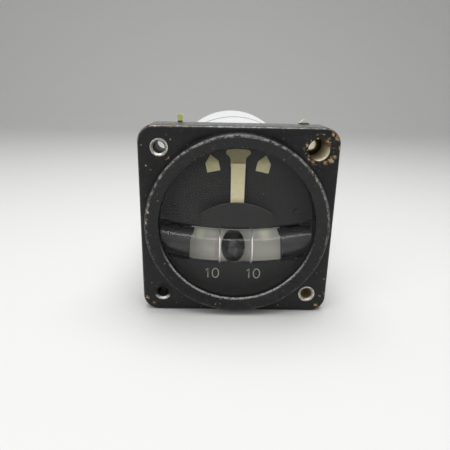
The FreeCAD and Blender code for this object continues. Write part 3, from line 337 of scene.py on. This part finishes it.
def shield_paint():
    """The dial's black, with paint rubbed pale and a painted highlight along the top arc's edge."""
    g = Graph("shield_paint")
    colour = g.blend(g.noise(0.5, 4.0), (0.0125, 0.0125, 0.0125), (0.019, 0.019, 0.018))
    arc = g.from_axis(0.0, SHIELD_ARC_Z)
    # Painted highlight along the top arc's edge, together with rubbed paint.
    edge = g.math("MULTIPLY", g.step(arc, *SHIELD_HIGHLIGHT_R), g.step(g.y, 1.3, 1.1))
    edge = g.math("MULTIPLY", edge, g.step(g.noise(0.4, 3.0), 0.3, 0.55, 0.25, 0.9))
    colour = g.blend(edge, colour, (0.085, 0.08, 0.06))
    return g.surface(colour, 0.55, g.bump(g.noise(5.0, 2.0), 0.02), Specular_IOR_Level=0.3)


def aged_cream_with_shade(name, light, dark, top_z, bottom_z):
    """Old luminous paint, blotched with age and darker towards top_z; on the marks and the needle that
    darkening is painted shade.
    """
    g = Graph(name)
    # Painted shade on the marks and the needle: the colour darkens from bottom_z up to top_z.
    colour = g.blend(g.step(g.z, bottom_z, top_z), light, dark)
    colour = g.blend(g.step(g.noise(0.9, 4.0), 0.45, 0.8, 0.0, 0.35), colour, tuple(c * 0.72 for c in dark))
    return g.surface(colour, 0.7, g.bump(g.noise(4.0, 3.0), 0.03), Specular_IOR_Level=0.3)


def backing_enamel():
    """Aged white enamel, grey and mottled, with a painted pink reflection left of the left wire and a painted
    glow at each side, green on the left and warm on the right.
    """
    g = Graph("backing_enamel")
    colour = g.blend(g.noise(0.22, 3.0), (0.60, 0.59, 0.53), (0.70, 0.66, 0.60))
    # Painted reflection: a pink band left of the left wire.
    pink_reflection = g.math("MULTIPLY", g.step(g.x, -7.6, -6.0), g.step(g.x, -5.2, -5.6))
    colour = g.blend(g.math("MULTIPLY", pink_reflection, 0.6), colour, (0.62, 0.46, 0.45))
    # Painted glows standing for reflections in the tube: a pale green patch on the left and a warm white one
    # on the right.
    for px, half_width, tint in ((-12.3, 2.4, (0.86, 0.93, 0.66)), (10.2, 3.2, (1.0, 0.96, 0.80))):
        glow_z = TUBE_Z + px ** 2 / (2 * TUBE_BEND_R) - 0.5
        offset = g.vector("SUBTRACT", g.position, (px, 0.0, glow_z))
        spread = g.vector("LENGTH", g.vector("MULTIPLY", offset, (1.0 / half_width, 0.0, 0.8)))
        colour = g.blend(g.step(spread, 1.0, 0.1), colour, tint)
    return g.surface(colour, 0.4, g.bump(g.noise(0.8, 2.0), 0.05))


def metal(name, colour, roughness, spread=0.12, turned=False, brushed=None, stain=None, wear=0.35):
    """A metal with fine marks: turned about Y, brushed along a squashed noise, or plain."""
    g = Graph(name)
    shade = g.blend(g.noise(0.3, 4.0), tuple(c * 0.82 for c in colour), colour)
    if stain:
        shade = g.blend(g.step(g.noise(0.45, 5.0), 0.5, 0.72, 0.0, wear), shade, stain)
    if turned:
        marks = g.noise(1.0, 3.0, at=g.turned(g.from_axis()))
    else:
        marks = g.noise(6.0, 3.0, squash=brushed)
    rough = g.math("ADD", g.step(marks, 0.3, 0.7, roughness - spread / 2, roughness + spread / 2),
                   g.step(g.noise(0.5, 3.0), 0.5, 0.8, 0.0, spread))
    return g.surface(shade, rough, g.bump(marks, 0.012), metallic=1.0)


def plain(name, low, high, roughness, grain=0.03, specular=0.4):
    """A non-metal in two close shades with a fine grain."""
    g = Graph(name)
    colour = g.blend(g.noise(0.6, 4.0), low, high)
    rough = g.step(g.noise(1.5, 3.0), 0.3, 0.7, roughness - 0.06, roughness + 0.06)
    return g.surface(colour, rough, g.bump(g.noise(5.0, 3.0), grain), Specular_IOR_Level=specular)


def ball_gloss():
    """Gloss black, with fine scuffs."""
    g = Graph("ball_gloss")
    colour = g.blend(g.noise(0.6, 4.0), (0.009, 0.009, 0.010), (0.016, 0.016, 0.016))
    scuffs = g.step(g.noise(2.5, 4.0, squash=(0.3, 1.0, 1.0)), 0.45, 0.75, 0.16, 0.30)
    return g.surface(colour, scuffs, g.bump(g.noise(2.0, 3.0), 0.01), Specular_IOR_Level=0.5)


def wire_metal():
    """Pale, soft-shining index wires."""
    g = Graph("wire_metal")
    colour = g.blend(g.noise(0.8, 3.0), (0.78, 0.77, 0.74), (0.96, 0.95, 0.92))
    return g.surface(colour, g.step(g.noise(1.5, 3.0), 0.3, 0.7, 0.32, 0.45), None, metallic=0.55)


def clear(name, tint, roughness, facing_reflection, film):
    """Thin clear glass: a reflection that grows towards its edge, over what is behind it, and dust."""
    g = Graph(name)
    shader = g.node("ShaderNodeBsdfPrincipled")
    shader.inputs["Base Color"].default_value = (*tint, 1.0)
    shader.inputs["Metallic"].default_value = 1.0
    g.link(g.step(g.noise(0.8, 3.0), 0.3, 0.7, roughness, roughness * 1.4), shader.inputs["Roughness"])
    layer = g.node("ShaderNodeLayerWeight")
    layer.inputs["Blend"].default_value = 0.5
    edge = g.math("MULTIPLY", g.math("POWER", layer.outputs["Facing"], 5.0), 1.0 - facing_reflection)
    dust = g.math("MULTIPLY", g.step(g.noise(0.6, 5.0), 0.45, 0.75), film)
    cover = g.math("ADD", g.math("ADD", edge, facing_reflection), dust, clamp=True)
    transparent = g.node("ShaderNodeBsdfTransparent")
    mix = g.node("ShaderNodeMixShader")
    g.link(cover, mix.inputs[0])
    g.link(transparent.outputs[0], mix.inputs[1])
    g.link(shader.outputs[0], mix.inputs[2])
    g.link(mix.outputs[0], g.output.inputs["Surface"])
    return g.material


def tube_liquid():
    """Clear liquid in thin glass, which bends what stands behind it as a full tube does."""
    g = Graph("tube_liquid")
    return g.surface((0.97, 0.985, 0.975), 0.06, None, Transmission_Weight=1.0, IOR=1.4)


def case_metal():
    """Bright spun aluminium with painted shade in the joint of its two shells."""
    g = Graph("case_metal")
    shade = g.blend(g.noise(0.3, 4.0), (0.68, 0.69, 0.69), (0.84, 0.85, 0.85))
    shade = g.blend(g.step(g.noise(0.45, 5.0), 0.5, 0.72, 0.0, 0.35), shade, (0.50, 0.50, 0.47))
    off_joint = g.math("ABSOLUTE", g.math("SUBTRACT", g.y, CASE_JOINT_Y))
    # Painted shade: a near black band across the gap at the joint of the two shells.
    shade = g.blend(g.step(off_joint, *CASE_JOINT_SHADE), shade, (0.03, 0.03, 0.03))
    marks = g.noise(1.0, 3.0, at=g.turned(g.from_axis()))
    rough = g.math("ADD", g.step(marks, 0.3, 0.7, 0.26, 0.38), g.step(off_joint, *CASE_JOINT_SHADE, 0.0, 0.3))
    return g.surface(shade, rough, g.bump(marks, 0.012), metallic=1.0)


def insert_metal():
    """Threaded inserts: pale faces and dark threads, the low left one grimy and the low right one brassy."""
    g = Graph("insert_metal")
    folded = g.vector("SUBTRACT", g.vector("ABSOLUTE", g.position), (HOLE_AT, 0.0, HOLE_AT))
    gap = g.vector("LENGTH", g.vector("MULTIPLY", folded, (1.0, 0.0, 1.0)))
    worn = g.noise(1.4, 4.0)
    left, low = g.step(g.x, 1.0, -1.0), g.step(g.z, 1.0, -1.0)
    face = g.blend(g.step(worn, 0.35, 0.65), (0.34, 0.32, 0.28), (0.66, 0.65, 0.61))
    grimy = g.math("MULTIPLY", g.math("MULTIPLY", left, low), g.step(g.z, -25.4, -24.2))
    face = g.blend(grimy, face, (0.035, 0.033, 0.03))
    brassy = g.blend(g.math("SUBTRACT", low, left, clamp=True), (0.022, 0.020, 0.018), (0.30, 0.22, 0.10))
    deep = g.math("MAXIMUM", g.step(gap, INSERT_BORE_R + 0.05, INSERT_BORE_R - 0.15), g.step(g.y, 1.2, 2.2))
    colour = g.blend(deep, face, brassy)
    threads = g.math("SINE", g.math("MULTIPLY", g.y, 2 * math.pi / THREAD_PITCH))
    threads = g.math("MULTIPLY", threads, g.step(gap, INSERT_BORE_R, INSERT_BORE_R - 0.2))
    height = g.math("ADD", threads, g.math("MULTIPLY", worn, 0.3))
    rough = g.math("ADD", g.step(worn, 0.3, 0.7, 0.30, 0.44), g.math("MULTIPLY", deep, 0.25))
    return g.surface(colour, rough, g.bump(height, 0.06), metallic=0.85)


def clip_brass():
    """Dull brass tips above the flange, the right one pale as a painted highlight, with the sheet below them
    dark.
    """
    g = Graph("clip_brass")
    green = g.blend(g.noise(1.0, 3.0), (0.52, 0.55, 0.17), (0.74, 0.76, 0.34))
    # Painted highlight: the right clip's tip is painted pale.
    tip_colours_and_highlight = g.blend(g.step(g.x, -2.0, 2.0), green, (0.86, 0.80, 0.66))
    colour = g.blend(g.step(g.z, *CLIP_TIP_Z), (0.035, 0.03, 0.02), tip_colours_and_highlight)
    return g.surface(colour, 0.42, g.bump(g.noise(4.0, 3.0), 0.03), metallic=0.45)


def rounded_profile(points, radii, steps=5):
    """A closed (radius, y) outline with each corner rounded to its radius."""
    out = []
    count = len(points)
    for i, radius in enumerate(radii):
        corner = Vector(points[i])
        to_before = (Vector(points[i - 1]) - corner).normalized()
        to_after = (Vector(points[(i + 1) % count]) - corner).normalized()
        if radius == 0:
            out.append(corner)
            continue
        half_angle = to_before.angle(to_after) / 2
        reach = radius / math.tan(half_angle)
        centre = corner + (to_before + to_after).normalized() * (radius / math.sin(half_angle))
        start = corner + to_before * reach - centre
        end = corner + to_after * reach - centre
        for k in range(steps + 1):
            t = k / steps
            turn = start.angle(end)
            weight_a = math.sin((1 - t) * turn) / math.sin(turn)
            weight_b = math.sin(t * turn) / math.sin(turn)
            out.append(centre + start * weight_a + end * weight_b)
    return out


def add_mesh(name, vertices, faces, smooth_deg=35.0):
    """A mesh object at the origin from millimetre points, smooth below an edge angle."""
    mesh = bpy.data.meshes.new(name)
    mesh.from_pydata([tuple(c * MM for c in v) for v in vertices], [], faces)
    mesh.validate()
    mesh.shade_smooth()
    mesh.set_sharp_from_angle(angle=math.radians(smooth_deg))
    piece = bpy.data.objects.new(name, mesh)
    bpy.context.collection.objects.link(piece)
    return piece


def lathe(name, profile, segments=224):
    """A ring turned about the Y axis from a closed (radius, y) outline."""
    vertices = []
    for s in range(segments):
        angle = 2 * math.pi * s / segments
        vertices += [(r * math.cos(angle), y, r * math.sin(angle)) for r, y in profile]
    count = len(profile)
    faces = []
    for s in range(segments):
        a, b = s * count, (s + 1) % segments * count
        faces += [(a + k, b + k, b + (k + 1) % count, a + (k + 1) % count) for k in range(count)]
    return add_mesh(name, vertices, faces)


def square_loop(inset, y, corner_steps=10):
    """A rounded square, inset from the flange's outline, as points at y."""
    radius = FLANGE_CORNER_R - inset
    middle = FLANGE_HALF - FLANGE_CORNER_R
    loop = []
    for quarter, (sx, sz) in enumerate(((1, 1), (-1, 1), (-1, -1), (1, -1))):
        for k in range(corner_steps + 1):
            angle = math.pi / 2 * (quarter + k / corner_steps)
            loop.append((sx * middle + radius * math.cos(angle), y, sz * middle + radius * math.sin(angle)))
    return loop


def circle_loop(radius, y, cx, cz, steps):
    """A circle about a line along Y, as points at y."""
    return [(cx + radius * math.cos(2 * math.pi * k / steps), y,
             cz + radius * math.sin(2 * math.pi * k / steps)) for k in range(steps)]


def rounding(radius, y, direction, steps=5):
    """Steps round an edge, as (distance in from the outline, y), from the flat face to the wall."""
    return [(radius * (1 - math.sin(math.pi / 2 * k / steps)),
             y + direction * radius * (1 - math.cos(math.pi / 2 * k / steps))) for k in range(steps + 1)]


def make_flange():
    """The flange plate with rounded edges, its bore and its four through holes."""
    vertices, faces = [], []

    def add_wall(loops):
        """Joins like loops into a wall, and gives its front and back rims."""
        starts = []
        for loop in loops:
            starts.append(len(vertices))
            vertices.extend(loop)
        count = len(loops[0])
        for a, b in zip(starts, starts[1:]):
            faces.extend((a + k, a + (k + 1) % count, b + (k + 1) % count, b + k) for k in range(count))
        return [range(start, start + count) for start in (starts[0], starts[-1])]

    sides = rounding(FLANGE_EDGE_R, 0.0, 1) + rounding(FLANGE_EDGE_R / 2, FLANGE_THICK, -1)[::-1]
    rims = [add_wall([square_loop(inset, y) for inset, y in sides])]
    holes = [(0.0, 0.0, BORE_R, 160)]
    holes += [(sx * HOLE_AT, sz * HOLE_AT, TORN_HOLE_R if (sx, sz) == (1, 1) else INSERT_HOLE_R, 48)
              for sx in (-1, 1) for sz in (-1, 1)]
    edge = rounding(HOLE_EDGE_R, 0.0, 1, 3) + rounding(HOLE_EDGE_R, FLANGE_THICK, -1, 3)[::-1]
    for cx, cz, radius, steps in holes:
        rims.append(add_wall([circle_loop(radius + inset, y, cx, cz, steps) for inset, y in edge]))
    for side in (0, 1):
        loops = [list(rim[side]) for rim in rims]
        flat = [[Vector((vertices[i][0], vertices[i][2], 0.0)) for i in loop] for loop in loops]
        index = [i for loop in loops for i in loop]
        faces.extend(tuple(index[i] for i in triangle) for triangle in tessellate_polygon(flat))
    piece = add_mesh("flange", vertices, faces)
    fix_normals(piece)
    return piece


def fix_normals(piece):
    """Turns every face outwards."""
    form = bmesh.new()
    form.from_mesh(piece.data)
    bmesh.ops.remove_doubles(form, verts=form.verts, dist=1e-7)
    bmesh.ops.recalc_face_normals(form, faces=form.faces)
    form.to_mesh(piece.data)
    form.free()


def make_ring():
    """The bezel ring with a soft crest, sloping in to the lip over the glass."""
    outline = [(RING_OUTER_R, 0.0), (RING_OUTER_R - 0.4, RING_CREST_Y), (RING_CREST_R, RING_CREST_Y),
               (RING_LIP_R, RING_LIP_Y), (RING_LIP_R, RING_SEAT_Y), (RING_SEAT_R, RING_SEAT_Y),
               (RING_SEAT_R, RING_SPIGOT_Y), (RING_SPIGOT_R, RING_SPIGOT_Y), (RING_SPIGOT_R, 0.0)]
    radii = [0, 0.7, 0.3, 0.22, 0.1, 0, 0, 0, 0]
    return lathe("ring", rounded_profile(outline, radii))


def make_tube(steps=56, sides=72):
    """The tube and its liquid as one clear body, because the wall between them hardly bends light."""
    vertices = []
    for k in range(steps + 1):
        x = TUBE_HALF_SPAN * (2 * k / steps - 1)
        for s in range(sides):
            turn = 2 * math.pi * s / sides
            bend = TUBE_BEND_R - TUBE_R * math.cos(turn)
            z = TUBE_Z + TUBE_BEND_R - math.sqrt(bend ** 2 - x ** 2)
            vertices.append((x, TUBE_Y + TUBE_R * math.sin(turn), z))
    faces = []
    for k in range(steps):
        for s in range(sides):
            after = (s + 1) % sides
            faces.append((k * sides + s, k * sides + after, (k + 1) * sides + after, (k + 1) * sides + s))
    faces.append(tuple(range(sides)))
    faces.append(tuple(range(steps * sides, (steps + 1) * sides)))
    piece = add_mesh("filled_tube", vertices, faces)
    fix_normals(piece)
    return piece


def stroke(name, points, y, closed=False):
    """A painted line along (x, z) points, as a flattened tube."""
    curve = bpy.data.curves.new(name, "CURVE")
    curve.dimensions = "3D"
    curve.bevel_depth = NUMERAL_STROKE_R * MM
    curve.bevel_resolution = 2
    curve.use_fill_caps = True
    line = curve.splines.new("POLY")
    line.points.add(len(points) - 1)
    for point, (x, z) in zip(line.points, points):
        point.co = (x * MM, 0.0, z * MM, 1.0)
    line.use_cyclic_u = closed
    source = bpy.data.objects.new(name + "_line", curve)
    mesh = bpy.data.meshes.new_from_object(source)
    bpy.data.objects.remove(source)
    flatten = Matrix.Diagonal((1.0, 0.3, 1.0, 1.0))
    mesh.transform(Matrix.Translation((0.0, y * MM, 0.0)) @ flatten)
    mesh.name = name
    mesh.shade_smooth()
    piece = bpy.data.objects.new(name, mesh)
    bpy.context.collection.objects.link(piece)
    return piece


def make_number(side, centre):
    """A plain 10 on the lower dial."""
    height = NUMERAL_TOP - NUMERAL_BOTTOM
    middle = (NUMERAL_TOP + NUMERAL_BOTTOM) / 2
    one_x = centre - 1.4
    one = [(one_x - 0.75, NUMERAL_TOP - 0.75), (one_x, NUMERAL_TOP), (one_x, NUMERAL_BOTTOM)]
    zero = [(centre + 1.1 + 1.05 * math.cos(2 * math.pi * k / 24),
             middle + height / 2 * math.sin(2 * math.pi * k / 24)) for k in range(24)]
    y = DIAL_FRONT_Y - 0.03
    return [stroke("numeral_one_" + side, one, y), stroke("numeral_zero_" + side, zero, y, closed=True)]


def dress(piece, material, body=None, stands_for=None):
    """Gives a piece its material, and a new piece its body and the node that it replaces."""
    piece.data.materials.clear()
    piece.data.materials.append(material)
    if body:
        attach(piece, body)
    if stands_for:
        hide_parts(stands_for)


def make_materials():
    """One finish for each material slot of the record."""
    return {
        "black_paint": flange_paint(),
        "dial_black": dial_paint(),
        # The marks and the needle darken towards the top as painted shade.
        "cream_paint": aged_cream_with_shade("mark_cream", (0.50, 0.46, 0.27), (0.27, 0.245, 0.135), 20.5, 17.5),
        "needle_paint": aged_cream_with_shade("needle_cream", (0.68, 0.63, 0.41), (0.54, 0.50, 0.31), 19.0, 0.0),
        "white_enamel": backing_enamel(),
        "black_steel": ball_gloss(),
        "bare_aluminium": metal("bare_aluminium", (0.86, 0.87, 0.87), 0.30, turned=True,
                                stain=(0.55, 0.55, 0.53)),
        "machined_aluminium": metal("machined_aluminium", (0.66, 0.67, 0.68), 0.42, brushed=(0.15, 1.0, 1.0)),
        "cadmium_plate": metal("cadmium_plate", (0.70, 0.68, 0.62), 0.36, stain=(0.42, 0.36, 0.25)),
        "steel": metal("ground_steel", (0.56, 0.56, 0.57), 0.34, brushed=(1.0, 0.2, 1.0)),
        "magnet_steel": metal("magnet_steel", (0.16, 0.16, 0.17), 0.5, stain=(0.10, 0.08, 0.07)),
        "brass": metal("dull_brass", (0.62, 0.48, 0.22), 0.40, stain=(0.30, 0.22, 0.10)),
        "copper": metal("copper_wire", (0.62, 0.30, 0.16), 0.38, brushed=(4.0, 0.5, 0.5)),
        "glass": clear("cover_glass", (0.80, 0.82, 0.82), 0.05, 0.006, 0.004),
        "tube_glass": tube_liquid(),
        "rubber": plain("black_rubber", (0.010, 0.010, 0.010), (0.020, 0.020, 0.020), 0.6),
        "insulator": plain("moulded_insulator", (0.05, 0.03, 0.018), (0.09, 0.055, 0.03), 0.4),
        "carbon": plain("carbon_brush", (0.02, 0.02, 0.02), (0.04, 0.04, 0.042), 0.5),
    }


def dress_nodes(materials):
    """Puts each slot's finish on its nodes, and a closer one on those that need it."""
    for row in frame["record"]["subparts"]:
        dress(nodes[row["node"]], materials[row["material_slot"]])
    closer_finishes = (
        (shield_paint, ["pointer_shield"]),
        (wire_metal, ["index_wires"]),
        (insert_metal, ["panel_inserts"]),
        (case_metal, ["front_case", "rear_case"]),
        (clip_brass, ["left_clip", "right_clip"]),
    )
    for make_finish, names in closer_finishes:
        finish = make_finish()
        for name in names:
            dress(nodes[name], finish)


def add_area(name, at, aim, size, power):
    """A soft rectangular lamp that faces a point."""
    lamp = bpy.data.lights.new(name, "AREA")
    lamp.shape = "RECTANGLE"
    lamp.size, lamp.size_y = size
    lamp.energy = power
    holder = bpy.data.objects.new(name, lamp)
    holder.location = at
    holder.rotation_euler = (Vector(aim) - Vector(at)).to_track_quat("-Z", "Y").to_euler()
    bpy.context.collection.objects.link(holder)


def studio_pale():
    """A pale matt sweep, whose wall shows white in polished metal."""
    g = Graph("studio_pale")
    g.surface((0.62, 0.62, 0.61), 0.8)
    matt = g.output.inputs["Surface"].links[0].from_socket
    glow = g.node("ShaderNodeEmission")
    rays = g.node("ShaderNodeLightPath")
    wall = g.math("MULTIPLY", rays.outputs["Is Glossy Ray"], g.step(g.y, 250.0, 500.0))
    mix = g.node("ShaderNodeMixShader")
    g.link(wall, mix.inputs[0])
    g.link(matt, mix.inputs[1])
    g.link(glow.outputs[0], mix.inputs[2])
    g.link(mix.outputs[0], g.output.inputs["Surface"])
    return g.material


def make_studio():
    """A pale sweep of floor and wall, soft light from above and in front, and a plain world."""
    floor_z = -FLANGE_HALF * MM
    reach, bend, height, half = 0.55, 0.25, 0.9, 1.2
    outline = [(-1.2, floor_z), (reach, floor_z)]
    outline += [(reach + bend * math.sin(a), floor_z + bend * (1 - math.cos(a)))
                for a in (math.pi / 2 * k / 16 for k in range(1, 17))]
    outline.append((reach + bend, floor_z + height))
    vertices = [(x / MM, y / MM, z / MM) for y, z in outline for x in (-half, half)]
    faces = [(2 * k, 2 * k + 1, 2 * k + 3, 2 * k + 2) for k in range(len(outline) - 1)]
    sweep = add_mesh("studio_sweep", vertices, faces)
    sweep.data.materials.append(studio_pale())
    add_area("top_light", (0.02, 0.06, 0.42), (0.0, 0.02, 0.0), (0.34, 0.22), 1.5)
    add_area("high_light", (-0.03, -0.17, 0.42), (0.0, 0.0, -0.01), (0.45, 0.16), 0.9)
    add_area("front_light", (-0.30, -0.42, 0.34), (0.0, 0.0, 0.0), (0.5, 0.4), 0.9)
    world = bpy.data.worlds.new("plain_world")
    world.use_nodes = True
    backdrop = world.node_tree.nodes["Background"]
    backdrop.inputs["Color"].default_value = (1.0, 1.0, 1.0, 1.0)
    backdrop.inputs["Strength"].default_value = 0.45
    bpy.context.scene.world = world
    bpy.context.scene.view_settings.view_transform = "Standard"


def make_camera():
    """The photograph's camera: pitched down, swung and rolled a little, from where it stood."""
    data = bpy.data.cameras.new("camera")
    data.lens = LENS
    data.sensor_width = SENSOR
    data.clip_start = 0.001
    camera = bpy.data.objects.new("camera", data)
    to_row = Matrix(((1, 0, 0), (0, 0, -1), (0, 1, 0)))
    tilt = Euler((math.radians(CAMERA_PITCH), 0, 0)).to_matrix()
    swing = Euler((0, math.radians(CAMERA_YAW), 0)).to_matrix()
    roll = Euler((0, 0, math.radians(CAMERA_ROLL))).to_matrix()
    turn = (roll @ tilt @ swing).transposed()
    camera.matrix_world = Matrix.Translation([c * MM for c in CAMERA_AT]) @ (to_row @ turn).to_4x4()
    bpy.context.collection.objects.link(camera)
    bpy.context.scene.camera = camera


materials = make_materials()
dress_nodes(materials)
dress(make_flange(), materials["black_paint"], "instrument", "flange_housing")
dress(make_ring(), ring_paint(), "instrument", "bezel_ring")
filled_tube = make_tube()
dress(filled_tube, materials["tube_glass"], "instrument", "inclinometer_tube")
# Clear glass lets the lamps light what is behind it
for piece in (filled_tube, nodes["cover_glass"]):
    piece.visible_shadow = False
    piece.visible_diffuse = False
numeral_paint = aged_cream_with_shade("numeral_paint", (0.40, 0.42, 0.33), (0.33, 0.35, 0.27), -16.0, -21.0)
for side, centre in zip(("left", "right"), NUMERAL_CENTRES):
    for numeral in make_number(side, centre):
        dress(numeral, numeral_paint, "instrument")
make_studio()
make_camera()
